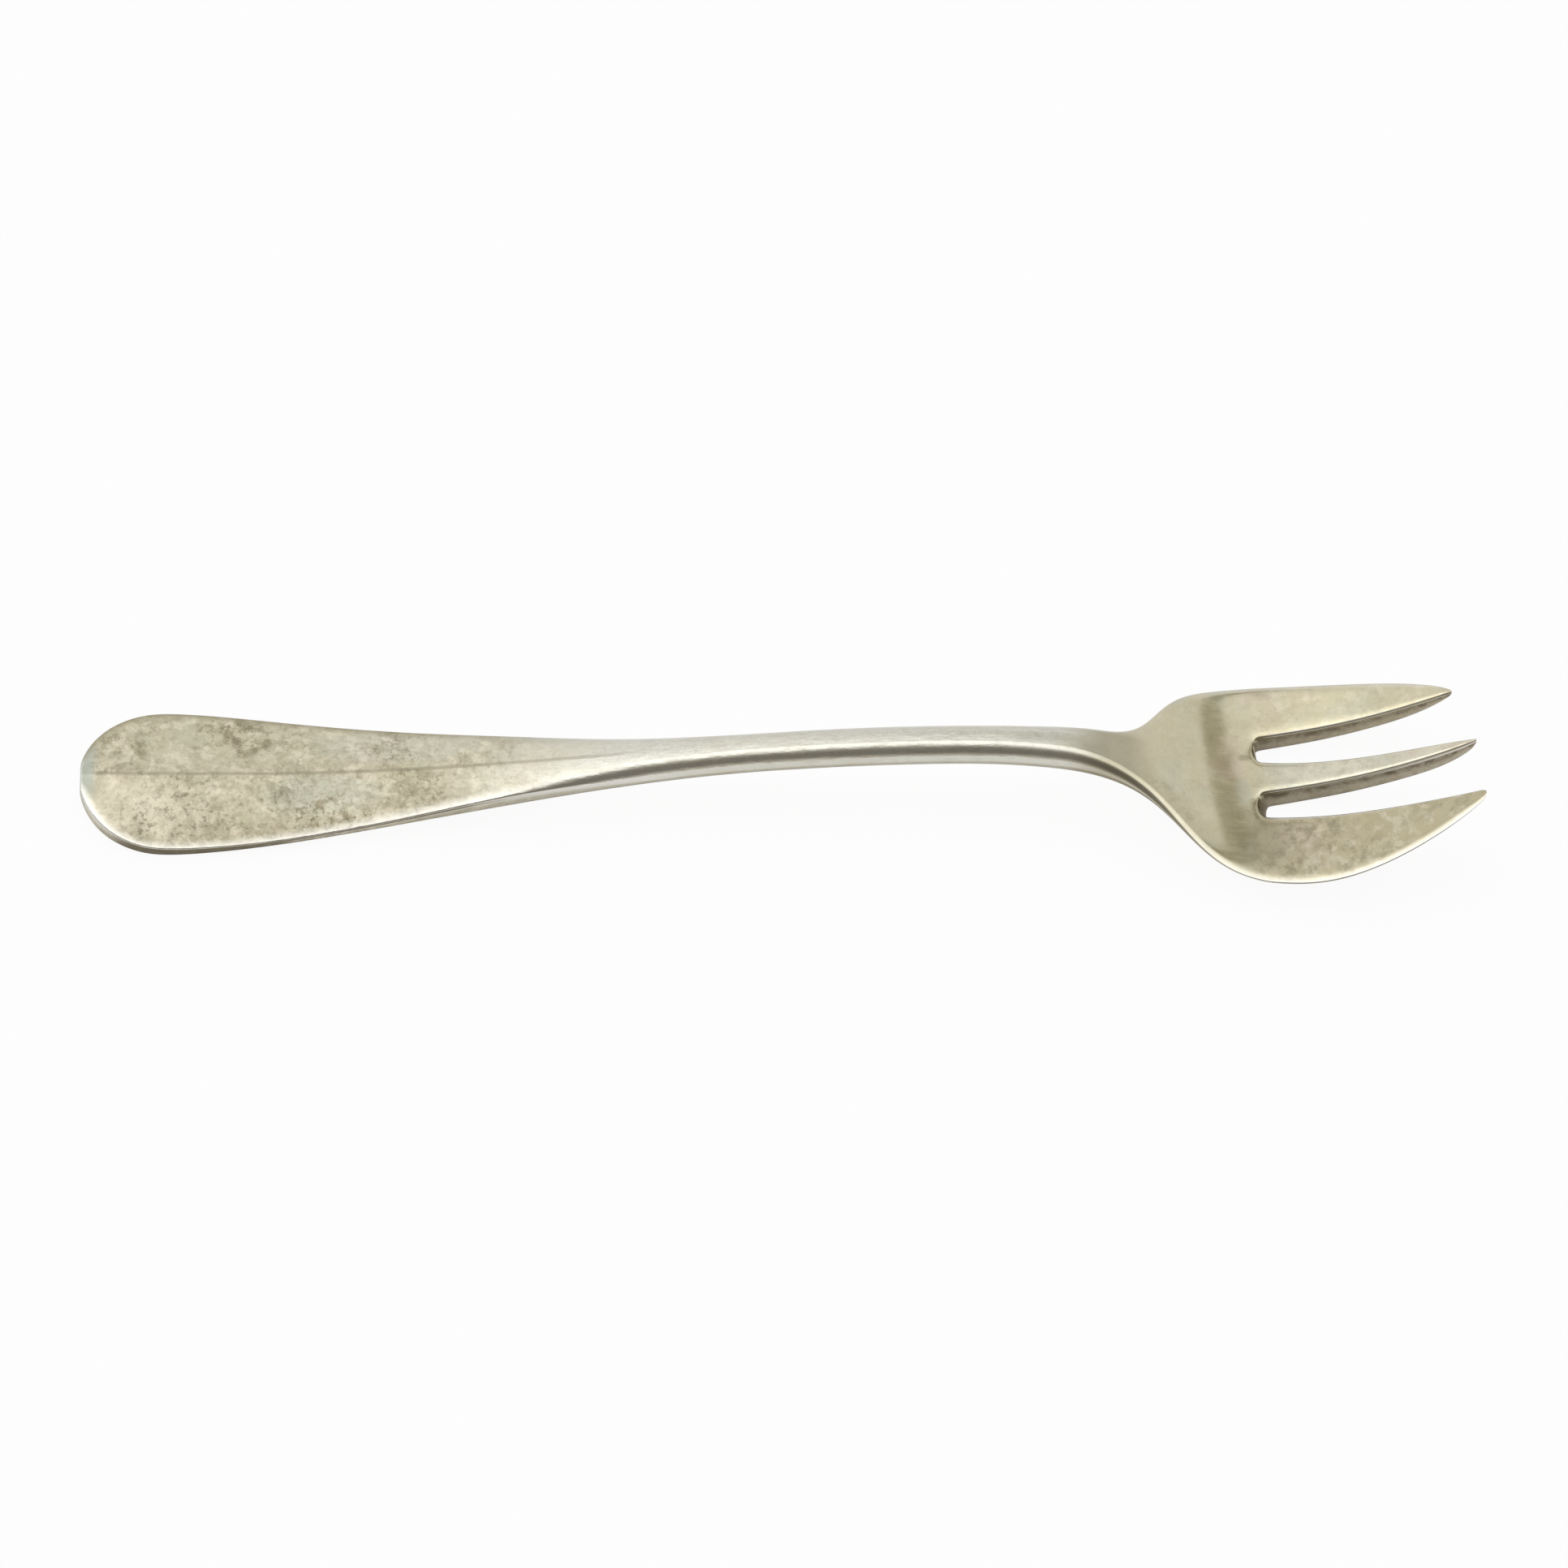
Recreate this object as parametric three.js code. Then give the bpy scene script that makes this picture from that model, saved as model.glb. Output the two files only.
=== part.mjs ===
// A small shellfish fork, struck from one blank of nickel silver and silver plated.
// A round-ended spatula with a ridge is the handle, the stem arches up to the neck, and the head
// carries two tapered tines beside a broad cutting tine. The fork lies on its back.
// Millimetres, +Z up, X from the handle's end to the points, +Y towards the plain outer tine.
import * as THREE from "three";

// Lengths along the fork
const HANDLE_LENGTH = 60;
const STEM_LENGTH = 38;
const NECK_LENGTH = 11;
const PLATE_LENGTH = 10;
const PLAIN_TINE_LENGTH = 20;
const MIDDLE_TINE_LENGTH = 21.8;
const CUTTING_TINE_LENGTH = 22.1;

// Widths across the fork
const HANDLE_WIDTH = 16.9;
const STEM_WIDTH = 4.1;
const PLAIN_NECK_REACH = 2.7; // from the centre line, where the plain side's shoulder begins
const CUTTING_NECK_REACH = 2.15; // from the centre line, where the cutting side's shoulder begins
const PLAIN_REACH = 11.15; // from the centre line to the plain tine's outer edge
const CUTTING_REACH = 13.66; // from the centre line to the cutting edge
const MIDDLE_PLAIN_REACH = 1.85; // from the centre line to the middle tine's two walls
const MIDDLE_CUTTING_REACH = 2.2;
const SLOT_WIDTH = 2.8;
const SLOT_ROOT_LENGTH = 0.9; // along the fork, the rounded root of a slot
const PLAIN_SPLAY = 1.6; // how far an outer tine's inner edge leans out by its point
const CUTTING_SPLAY = 1.25;
const POINT_WIDTH = 0.35;
const CUTTING_POINT_WIDTH = 1;

// Heights over the table, on the centre line of the front face
const STEM_CROWN_HEIGHT = 9.5;
const POINT_HEIGHT = 9.3;

// Thicknesses of the metal
const RIDGE_THICKNESS = 2.6; // the handle under its ridge
const STEM_THICKNESS = 3.05;
const HEAD_THICKNESS = 2.8;
const POINT_THICKNESS = 0.55;
const HANDLE_EDGE = 1.5;
const STEM_EDGE = 2.85;
const PLAIN_EDGE = 1.45;
const CUTTING_EDGE = 0.5;

// Rounding or bevel of the edges: how far in from the edge it reaches, and how far down it goes
const HANDLE_ROUNDING = 0.8;
const HANDLE_ROUNDING_DEPTH = 0.09;
const STEM_ROUNDING = 1.35;
const STEM_ROUNDING_DEPTH = 1.35;
const PLAIN_ROUNDING = 0.7;
const PLAIN_ROUNDING_DEPTH = 0.4;
const CUTTING_ROUNDING = 0.7;
const CUTTING_ROUNDING_DEPTH = 0.18;
const SLOT_ROUNDING = 0.3;
const SLOT_ROUNDING_DEPTH = 0.2;
const POINT_ROUNDING = 0.4; // the corners of an outer tine's point, in plan

// How far the front stands proud on the centre line over the edges, and dips in the head
const RIDGE_RISE = 1.1;
const STEM_RISE = 0.15;
const HEAD_DISH = 0.2;

// Lengths of the zones that the drawn lines run between
const HANDLE_FLAT = 16; // the handle's back lies on the table this far
const STEM_SETTLE = 9; // from the stem's start to its even section
const CROWN_TO_NECK = 7.5; // the highest point of the stem, before the neck
const PLAIN_SHOULDER_DELAY = 5; // from the neck's start to where the plain side spreads
const LOW_TO_SLOTS = 0.8; // the lowest point of the head, before the slots
const PLAIN_BELLY = 2; // from the slots to the plain side's greatest width
const CUTTING_BELLY = 5.5; // from the slots to the cutting side's greatest width
const POINT_TAPER = 5; // the length over which a tine thins to its point
const WEAR_DEPTH = 0.06; // what use has worn off the back of the head
const END_LIFT = 0.12; // how far the back of the handle's round end is eased off the table

const STEM_START = HANDLE_LENGTH;
const NECK_START = STEM_START + STEM_LENGTH;
const PLATE_START = NECK_START + NECK_LENGTH;
const SLOT_ROOT = PLATE_START + PLATE_LENGTH;
const PLAIN_POINT = SLOT_ROOT + PLAIN_TINE_LENGTH;
const MIDDLE_POINT = SLOT_ROOT + MIDDLE_TINE_LENGTH;
const CUTTING_POINT = SLOT_ROOT + CUTTING_TINE_LENGTH;
const LENGTH = Math.max(PLAIN_POINT, MIDDLE_POINT, CUTTING_POINT);

const END_RADIUS = HANDLE_WIDTH / 2;
const STEM_EVEN = STEM_START + STEM_SETTLE;
const STEM_CROWN = NECK_START - CROWN_TO_NECK;
const HEAD_LOW = SLOT_ROOT - LOW_TO_SLOTS;
const SLOT_RADIUS = SLOT_WIDTH / 2;
const SLOT_SQUARE = SLOT_ROOT + SLOT_ROOT_LENGTH; // where the slot's round root ends

const SILVER = new THREE.MeshStandardMaterial({ color: 0xbdb8a4, roughness: 0.32, metalness: 1 });

// Continues a line to (x, y) in one sweep that leaves and arrives level.
// leave and arrive are the shares of the way over which each end holds its height.
function sweepTo(path, x, y, leave, arrive) {
  const { x: fromX, y: fromY } = path.currentPoint;
  const way = x - fromX;
  return path.bezierCurveTo(fromX + leave * way, fromY, x - arrive * way, y, x, y);
}

// Reads a drawn line as a height over the distance from the handle's end.
const LINE_STEPS = 60;
function readLine(path) {
  const points = path.getPoints(LINE_STEPS);
  return (s) => {
    const next = points.findIndex((point) => point.x > s);
    if (next < 1) return points.at(next).y;
    const [a, b] = [points[next - 1], points[next]];
    return THREE.MathUtils.mapLinear(s, a.x, b.x, a.y, b.y);
  };
}

// The plan outline on one side: the round end, the taper to the stem, the shoulder and the tine's outer edge.
// The pulls are the shares of a curve's way over which it holds its start and its end.
function drawOutline({ neck, reach, belly, point, pointAt, shoulderPulls, edgePulls, edgeFullness }) {
  const path = new THREE.Path();
  path.moveTo(0, 0);
  path.absarc(END_RADIUS, 0, END_RADIUS, Math.PI, Math.PI / 2, true);
  sweepTo(path, STEM_EVEN, STEM_WIDTH / 2, 0.16, 0.44);
  path.lineTo(STEM_CROWN, STEM_WIDTH / 2);
  sweepTo(path, neck.at, neck.reach, 0.5, 0.3);
  sweepTo(path, belly, reach, ...shoulderPulls);
  const way = point - belly;
  const bulge = THREE.MathUtils.lerp(pointAt, reach, edgeFullness);
  path.bezierCurveTo(belly + edgePulls[0] * way, reach, point - edgePulls[1] * way, bulge, point, pointAt);
  return readLine(path);
}

const plainEdge = drawOutline({
  neck: { at: NECK_START + PLAIN_SHOULDER_DELAY, reach: PLAIN_NECK_REACH },
  reach: PLAIN_REACH,
  belly: SLOT_ROOT + PLAIN_BELLY,
  point: PLAIN_POINT,
  pointAt: MIDDLE_PLAIN_REACH + SLOT_WIDTH + PLAIN_SPLAY + POINT_WIDTH,
  shoulderPulls: [0.44, 0.8],
  edgePulls: [0.45, 0.08],
  edgeFullness: 0.5,
});
const cuttingEdge = drawOutline({
  neck: { at: NECK_START, reach: CUTTING_NECK_REACH },
  reach: CUTTING_REACH,
  belly: SLOT_ROOT + CUTTING_BELLY,
  point: CUTTING_POINT,
  pointAt: MIDDLE_CUTTING_REACH + SLOT_WIDTH + CUTTING_SPLAY + CUTTING_POINT_WIDTH,
  shoulderPulls: [0.59, 0.62],
  edgePulls: [0.36, 0.14],
  edgeFullness: 0.36,
});

// The side view: the centre line of the front face, from the ridge over the stem's crown to the points.
function drawSpine() {
  const path = new THREE.Path();
  const low = HEAD_THICKNESS - WEAR_DEPTH;
  const tine = LENGTH - HEAD_LOW;
  path.moveTo(0, RIDGE_THICKNESS);
  path.lineTo(HANDLE_FLAT, RIDGE_THICKNESS);
  sweepTo(path, STEM_CROWN, STEM_CROWN_HEIGHT, 0.37, 0.35);
  sweepTo(path, HEAD_LOW, low, 0.57, 0.3);
  const rise = POINT_HEIGHT - low;
  path.bezierCurveTo(
    HEAD_LOW + 0.4 * tine,
    low,
    LENGTH - 0.28 * tine,
    POINT_HEIGHT - 0.42 * rise,
    LENGTH,
    POINT_HEIGHT,
  );
  return readLine(path);
}
const spine = drawSpine();

// A size that has one value on the handle, another on the stem and a third on the head.
function drawThreeZones(handle, stem, head) {
  const path = new THREE.Path();
  path.moveTo(0, handle);
  path.lineTo(END_RADIUS, handle);
  sweepTo(path, STEM_EVEN, stem, 0.3, 0.5);
  path.lineTo(NECK_START, stem);
  sweepTo(path, HEAD_LOW, head, 0.3, 0.5);
  path.lineTo(LENGTH, head);
  return readLine(path);
}
const thickness = drawThreeZones(RIDGE_THICKNESS, STEM_THICKNESS, HEAD_THICKNESS);
const rise = drawThreeZones(RIDGE_RISE, STEM_RISE, -HEAD_DISH);
const SHARP = 1; // a ridge between flat faces, or a flat bevel
const ROUND = 2;
const crownPower = drawThreeZones(SHARP, ROUND, ROUND);

// How far the wall of a slot leans away past its root. early and late are the shares of the way and of the
// opening that pull the line: early from the root, and late back from the point.
function drawOpening(point, opening, early, late) {
  const path = new THREE.Path();
  const way = point - SLOT_SQUARE;
  path.moveTo(SLOT_ROOT, 0);
  path.lineTo(SLOT_SQUARE, 0);
  path.bezierCurveTo(
    SLOT_SQUARE + early.along * way,
    early.out * opening,
    point - late.along * way,
    late.out * opening,
    point,
    opening,
  );
  return readLine(path);
}

const sides = {
  plain: {
    sign: 1,
    outline: plainEdge,
    edge: drawThreeZones(HANDLE_EDGE, STEM_EDGE, PLAIN_EDGE),
    rounding: drawThreeZones(HANDLE_ROUNDING, STEM_ROUNDING, PLAIN_ROUNDING),
    depth: drawThreeZones(HANDLE_ROUNDING_DEPTH, STEM_ROUNDING_DEPTH, PLAIN_ROUNDING_DEPTH),
    roundness: drawThreeZones(SHARP, ROUND, ROUND),
    middle: MIDDLE_PLAIN_REACH,
    splay: drawOpening(PLAIN_POINT, PLAIN_SPLAY, { along: 0.2, out: 0.36 }, { along: 0.4, out: 0.56 }),
  },
  cutting: {
    sign: -1,
    outline: cuttingEdge,
    edge: drawThreeZones(HANDLE_EDGE, STEM_EDGE, CUTTING_EDGE),
    rounding: drawThreeZones(HANDLE_ROUNDING, STEM_ROUNDING, CUTTING_ROUNDING),
    depth: drawThreeZones(HANDLE_ROUNDING_DEPTH, STEM_ROUNDING_DEPTH, CUTTING_ROUNDING_DEPTH),
    roundness: drawThreeZones(SHARP, ROUND, SHARP),
    middle: MIDDLE_CUTTING_REACH,
    splay: drawOpening(CUTTING_POINT, CUTTING_SPLAY, { along: 0.4, out: 0.4 }, { along: 0.4, out: 0.5 }),
  },
};
const slotCentre = (side) => side.middle + SLOT_RADIUS;

// Where a point lies between the centre line, 0, and the outline, 1. The ridge runs out at the handle's end.
function shareOut(side, s, y) {
  return Math.abs(y) / side.outline(Math.max(s, END_RADIUS));
}

// The front and back of the blank at a place in plan, before its edges are rounded.
function frontAt(side, s, y) {
  return spine(s) - rise(s) * shareOut(side, s, y) ** crownPower(s);
}

function metalAt(side, s, y) {
  const out = shareOut(side, s, y);
  const back = thickness(s) - rise(s) - side.edge(s);
  return thickness(s) - rise(s) * out ** crownPower(s) - back * out ** 2;
}

// The rounded edge's reach and depth, in step with the metal: the handle's end is thicker than its sides.
function roundingAt(side, s) {
  const more = metalAt(side, s, side.outline(s)) / side.edge(s);
  return { reach: side.rounding(s) * more, depth: side.depth(s) * more, roundness: side.roundness(s) };
}

// How far an edge has fallen at a distance in from it: a quarter of an ellipse where it is round,
// and nearly flat where it is sharp.
function roundOff(inset, { reach, depth, roundness }) {
  const left = 1 - THREE.MathUtils.clamp(inset / reach, 0, 1);
  return depth * (1 - (1 - left ** (1 + roundness / 2)) ** (1 / roundness));
}

// How far the back is eased off the table under the handle's round end, so that its flat ends square.
function endLift(s) {
  return END_LIFT * (1 - Math.min(s / END_RADIUS, 1) ** 4);
}

// One point of a section: its place across the fork, and the heights of the front and the back there.
// inset is the distance in from the nearest edge, and taper the share of the metal left near a point.
function columnAt(side, s, y, inset, rounding, taper = 1) {
  const front = frontAt(side, s, y);
  const metal = metalAt(side, s, y) * taper;
  const fall = roundOff(inset, rounding);
  return { y, front: front - fall, back: Math.max(front - metal, 0) + fall + endLift(s) };
}

// A section has columns from the outline to the centre line: those of the rounded edge, of the outer tine,
// of the slot and of the middle tine. EDGE_COLUMNS are shares of the way in over the rounded edge.
const EDGE_COLUMNS = [0, 0.134, 0.5, 1];
const OUTER_TINE_COLUMNS = 2;
const slotEdge = { reach: SLOT_ROUNDING, depth: SLOT_ROUNDING_DEPTH, roundness: ROUND };

// Half the slot's opening, measured to a line set back from its wall by inset. Its root is half an ellipse.
function slotReach(s, inset) {
  const toCentre = THREE.MathUtils.clamp((SLOT_SQUARE - s) / (SLOT_ROOT_LENGTH + inset), 0, 1);
  return (SLOT_RADIUS + inset) * Math.sqrt(1 - toCentre ** 2);
}

// The columns at a slot's root: its two fillets with its centre between them, and one in the middle tine.
function slotColumns(side) {
  const fillet = slotReach(SLOT_ROOT, SLOT_ROUNDING);
  const centre = slotCentre(side);
  return [centre + fillet, centre, centre - fillet, (centre - fillet) / 2];
}

function outerColumns(from, to) {
  const steps = Array.from({ length: OUTER_TINE_COLUMNS }, (_, i) => (i + 1) / (OUTER_TINE_COLUMNS + 1));
  return steps.map((share) => THREE.MathUtils.lerp(from, to, share));
}

// How far the outline runs outwards for each millimetre along the fork.
const SLOPE_STEP = 0.05;
function slopeOf(line, s) {
  return (line(s + SLOPE_STEP) - line(s - SLOPE_STEP)) / (2 * SLOPE_STEP);
}

// One side's edge at a place along the fork: its reach, its lean in plan, its rounding and where that ends.
const WIDEST_ROUNDING_SHARE = 0.66; // of the half width, at the handle's end and the points
function edgeAt(side, s) {
  const half = side.outline(s);
  const lean = Math.hypot(1, s < END_RADIUS ? (END_RADIUS - s) / half : slopeOf(side.outline, s));
  const rounding = roundingAt(side, s);
  const inner = half - Math.min(rounding.reach * lean, half * WIDEST_ROUNDING_SHARE);
  return { half, lean, rounding, inner };
}

// Half a section. Its inner columns lie evenly on the stem and gather to the slots' columns over the head.
function halfSection(side, s) {
  const { half, lean, rounding, inner } = edgeAt(side, s);
  const rounded = EDGE_COLUMNS.map((share) => half - share * (half - inner));
  const root = edgeAt(side, SLOT_ROOT).inner;
  const slot = slotColumns(side);
  const slotted = [...outerColumns(root, slot[0]), ...slot];
  const even = slotted.map((_, i) => inner * (1 - (i + 1) / (slotted.length + 1)));
  const spread = THREE.MathUtils.smoothstep(s, NECK_START, SLOT_ROOT - SLOT_ROUNDING);
  const across = slotted.map((y, i) => THREE.MathUtils.lerp(even[i], y * (inner / root), spread));
  return [...rounded, ...across].map((y) => {
    const inset = s < END_RADIUS ? END_RADIUS - Math.hypot(END_RADIUS - s, y) : (half - y) / lean;
    const atRoot = s === SLOT_ROOT && y === slotCentre(side);
    if (atRoot) return columnAt(side, s, side.sign * y, 0, slotEdge);
    return columnAt(side, s, side.sign * y, inset, rounding);
  });
}

// A whole section of the blank, from the plain side's edge to the cutting side's.
function section(s) {
  const centreInset = s < END_RADIUS ? s : END_RADIUS;
  const centre = columnAt(sides.plain, s, 0, centreInset, roundingAt(sides.plain, s));
  const columns = [...halfSection(sides.plain, s), centre, ...halfSection(sides.cutting, s).reverse()];
  return { s, columns };
}

// Joins sections into one closed solid: the front, the back, the two edges and the two ends.
function loft(sections) {
  const count = sections[0].columns.length;
  const positions = sections.flatMap(({ s, columns }) =>
    columns.flatMap(({ y, front, back }) => [s, y, front, s, y, back]),
  );
  const front = (ring, column) => 2 * (ring * count + column);
  const back = (ring, column) => front(ring, column) + 1;
  const faces = [];
  const quad = (a, b, c, d) => faces.push(a, b, c, a, c, d);
  const last = sections.length - 1;
  for (let ring = 0; ring < last; ring++) {
    for (let column = 0; column < count - 1; column++) {
      const side = column + 1;
      quad(front(ring, column), front(ring, side), front(ring + 1, side), front(ring + 1, column));
      quad(back(ring, column), back(ring + 1, column), back(ring + 1, side), back(ring, side));
    }
    const end = count - 1;
    quad(front(ring, 0), front(ring + 1, 0), back(ring + 1, 0), back(ring, 0));
    quad(front(ring, end), back(ring, end), back(ring + 1, end), front(ring + 1, end));
  }
  for (let column = 0; column < count - 1; column++) {
    quad(front(0, column), back(0, column), back(0, column + 1), front(0, column + 1));
    quad(front(last, column), front(last, column + 1), back(last, column + 1), back(last, column));
  }
  const geometry = new THREE.BufferGeometry();
  geometry.setAttribute("position", new THREE.Float32BufferAttribute(positions, 3));
  geometry.setIndex(faces);
  geometry.computeVertexNormals();
  return geometry;
}

// Places along the fork, evenly spaced, with both ends.
function spaced(from, to, steps) {
  return Array.from({ length: steps + 1 }, (_, i) => THREE.MathUtils.lerp(from, to, i / steps));
}

// Places along a round end, at even turns of its arc.
function aroundEnd(radius, turns) {
  return turns.map((degrees) => radius * (1 - Math.cos(THREE.MathUtils.degToRad(degrees))));
}

const HANDLE_END_TURNS = [10, 16, 24, 33, 44, 57, 73];
const SLOT_TURNS = [0, 22.5, 45, 67.5];

// The spatula, with its ridge
const FLAT_END = END_RADIUS + 10; // where the handle's back leaves the table
function makeHandle() {
  const flat = spaced(END_RADIUS, FLAT_END, 2);
  const rising = spaced(FLAT_END, STEM_START, 11).slice(1);
  return loft([...aroundEnd(END_RADIUS, HANDLE_END_TURNS), ...flat, ...rising].map(section));
}

// The arched stem, nearly oval
function makeStem() {
  return loft(spaced(STEM_START, NECK_START, 11).map(section));
}

// The neck, which flattens and begins to spread
function makeNeck() {
  return loft(spaced(NECK_START, PLATE_START, 9).map(section));
}

// The head's plate, from the shoulders to the slots
function makePlate() {
  const places = [...spaced(PLATE_START, SLOT_ROOT - SLOT_ROUNDING, 8), SLOT_ROOT];
  return loft(places.map(section));
}

const narrowing = drawOpening(MIDDLE_POINT, 1, { along: 0.3, out: 0.42 }, { along: 0.1, out: 0.5 });

// The share of the metal left at a distance from a tine's point
function pointTaper(distance) {
  const least = POINT_THICKNESS / HEAD_THICKNESS;
  const along = Math.min(distance / POINT_TAPER, 1);
  return least + (1 - least) * Math.sqrt(1 - (1 - along) ** 2);
}

const TINE_ROUNDING_SHARE = 0.3; // of the width, near a point
const METAL_ROUNDING_SHARE = 0.4; // of the metal, near a point

// A rounding that still fits on a tine of this width and metal.
function fitRounding({ reach, depth, roundness }, width, metal) {
  const fitted = Math.min(reach, width * TINE_ROUNDING_SHARE);
  return { reach: fitted, depth: Math.min(depth, metal * METAL_ROUNDING_SHARE), roundness };
}

// How far the corners of an outer tine's point are rounded off, at a distance from the point.
const POINT_ROUNDING_SHARE = 0.42; // of the width of the point
function cornerOff(distance, width) {
  const radius = Math.min(POINT_ROUNDING, width * POINT_ROUNDING_SHARE);
  return roundOff(distance, { reach: radius, depth: radius, roundness: ROUND });
}

// A section of an outer tine, from its outer edge to its slot wall
function outerTineSection(side, s, point) {
  const open = slotCentre(side) + side.splay(s);
  const pointWidth = side.outline(point) - side.middle - SLOT_WIDTH - side.splay(point);
  const corner = cornerOff(point - s, pointWidth);
  const outer = side.outline(s) - corner;
  const wall = open + slotReach(s, 0) + corner;
  const width = outer - wall;
  const taper = pointTaper(point - s);
  const metal = side.edge(s) * taper;
  const bevel = { reach: side.rounding(s), depth: side.depth(s), roundness: side.roundness(s) };
  const edge = fitRounding(bevel, width, metal);
  const lean = Math.hypot(1, slopeOf(side.outline, Math.min(s, point - SLOPE_STEP)));
  const inner = outer - Math.min(edge.reach * lean, width * TINE_ROUNDING_SHARE);
  const slot = fitRounding(slotEdge, width, metal);
  const fillet = open + slotReach(s, slot.reach) + corner;
  const rounded = EDGE_COLUMNS.map((share) => {
    const y = outer - share * (outer - inner);
    return columnAt(side, s, side.sign * y, share * edge.reach, edge, taper);
  });
  const across = [...outerColumns(inner, fillet), fillet].map((y) =>
    columnAt(side, s, side.sign * y, slot.reach, slot, taper),
  );
  return { s, columns: [...rounded, ...across, columnAt(side, s, side.sign * wall, 0, slot, taper)] };
}

// A section of the middle tine, from wall to wall
function middleTineSection(s) {
  const taper = pointTaper(MIDDLE_POINT - s);
  const drawIn = (side) => narrowing(s) * (side.middle - POINT_WIDTH / 2);
  const wallAt = (side) => slotCentre(side) - slotReach(s, 0) - drawIn(side);
  const width = wallAt(sides.plain) + wallAt(sides.cutting);
  const slot = fitRounding(slotEdge, width, HEAD_THICKNESS * taper);
  const half = (side) => {
    const fillet = slotCentre(side) - slotReach(s, slot.reach) - drawIn(side);
    const inner = [fillet, fillet / 2].map((y) => columnAt(side, s, side.sign * y, slot.reach, slot, taper));
    return [columnAt(side, s, side.sign * wallAt(side), 0, slot, taper), ...inner];
  };
  const centre = columnAt(sides.plain, s, 0, slot.reach, slot, taper);
  return { s, columns: [...half(sides.plain), centre, ...half(sides.cutting).reverse()] };
}

// Places along a tine: close together round the slot's root and towards the point
const TINE_STEPS = 7;
const POINT_STEPS = [0.62, 0.34, 0.16, 0.07, 0.02, 0];
function tinePlaces(point) {
  const root = aroundEnd(SLOT_ROOT_LENGTH, SLOT_TURNS).map((step) => SLOT_ROOT + step);
  const shaft = spaced(SLOT_SQUARE, point - POINT_TAPER, TINE_STEPS);
  return [...root, ...shaft, ...POINT_STEPS.map((share) => point - share * POINT_TAPER)];
}

function makePlainTine() {
  return loft(tinePlaces(PLAIN_POINT).map((s) => outerTineSection(sides.plain, s, PLAIN_POINT)));
}

function makeMiddleTine() {
  return loft(tinePlaces(MIDDLE_POINT).map(middleTineSection));
}

function makeCuttingTine() {
  const sections = tinePlaces(CUTTING_POINT).map((s) => outerTineSection(sides.cutting, s, CUTTING_POINT));
  sections.forEach(({ columns }) => columns.reverse());
  return loft(sections);
}

// The fork: its named stretches end to end, the origin on the table under the middle of its length and width
const fork = new THREE.Group();
const stretches = {
  handle: makeHandle(),
  stem: makeStem(),
  neck: makeNeck(),
  head_plate: makePlate(),
  plain_tine: makePlainTine(),
  middle_tine: makeMiddleTine(),
  cutting_tine: makeCuttingTine(),
};
for (const [name, geometry] of Object.entries(stretches)) {
  const mesh = new THREE.Mesh(geometry, SILVER);
  mesh.name = name;
  fork.add(mesh);
}
fork.position.set(-LENGTH / 2, (CUTTING_REACH - PLAIN_REACH) / 2, 0);

const part = new THREE.Group();
part.add(fork);
export default part;
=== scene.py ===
# A small silver-plated shellfish fork, lying on its back on a white table.
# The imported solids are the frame: each named stretch of the fork gets its skin from its own solid's rows.
import math
from types import SimpleNamespace

import bmesh
import bpy
import numpy as np
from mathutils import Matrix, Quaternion, Vector


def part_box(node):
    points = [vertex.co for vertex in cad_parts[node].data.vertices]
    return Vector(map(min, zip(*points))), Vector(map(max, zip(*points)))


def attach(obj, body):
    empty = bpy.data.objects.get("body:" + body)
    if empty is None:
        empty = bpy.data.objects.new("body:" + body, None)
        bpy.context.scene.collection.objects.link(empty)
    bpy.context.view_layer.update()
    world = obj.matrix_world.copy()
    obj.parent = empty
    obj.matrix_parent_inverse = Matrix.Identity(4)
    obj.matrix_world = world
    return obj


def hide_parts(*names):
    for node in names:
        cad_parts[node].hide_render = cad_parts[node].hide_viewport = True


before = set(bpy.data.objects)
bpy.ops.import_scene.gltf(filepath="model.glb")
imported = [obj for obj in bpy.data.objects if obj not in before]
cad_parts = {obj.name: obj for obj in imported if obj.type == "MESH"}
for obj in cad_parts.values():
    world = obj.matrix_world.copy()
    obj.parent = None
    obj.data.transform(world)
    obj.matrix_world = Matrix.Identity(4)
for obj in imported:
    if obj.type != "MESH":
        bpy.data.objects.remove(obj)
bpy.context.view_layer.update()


# The blank
# The fork is one blank of nickel silver, struck in a press, bent over a former, trimmed and filed. Its
# solids are rows of points across the fork, so one net is drawn through all rows and smoothed as a whole.
MM = 0.001
FORK_AXIS = (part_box("handle")[0][1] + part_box("handle")[1][1]) / 2
STRETCHES = ["handle", "stem", "neck", "head_plate", "plain_tine", "middle_tine", "cutting_tine"]
SAME_PLACE = 0.002 * MM
RIDGE_SHARPNESS = 0.55
RIDGE_RUN_OUT = 4  # rows before the stem
RIM_COLUMNS = [1, 0.9, 0.45, 0]  # the rim's mark, from the edge inwards
WALL_TOP = 0.7  # the mark on the wall of a slot, at its top and at its foot
WALL_FOOT = 1
NOSE = 0.1 * MM
NOSE_FOOT = 0.5
FILED_END = -14 * MM
FILED_RUN = 14 * MM
THINNED_END = -26 * MM
THINNED_START = 20 * MM
EDGE_WIDENING = 0.23 * MM
EDGE_THINNING = 0.32 * MM
BEVEL_START = 8 * MM
BEVEL_FALL = 0.1 * MM
ROOT_REACH = 5.4 * MM
FAR_ROOT_SLOPE = 0.4 * MM
NEAR_ROOT_SLOPE = 1.6 * MM
SMOOTHING = 2
UNEVENNESS = 0.02 * MM
WAVES_PER_METRE = 260
WAVE_SEED = 3.0
WAVE_DETAIL = 1.0
NOISE_MIDDLE = 0.5


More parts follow.
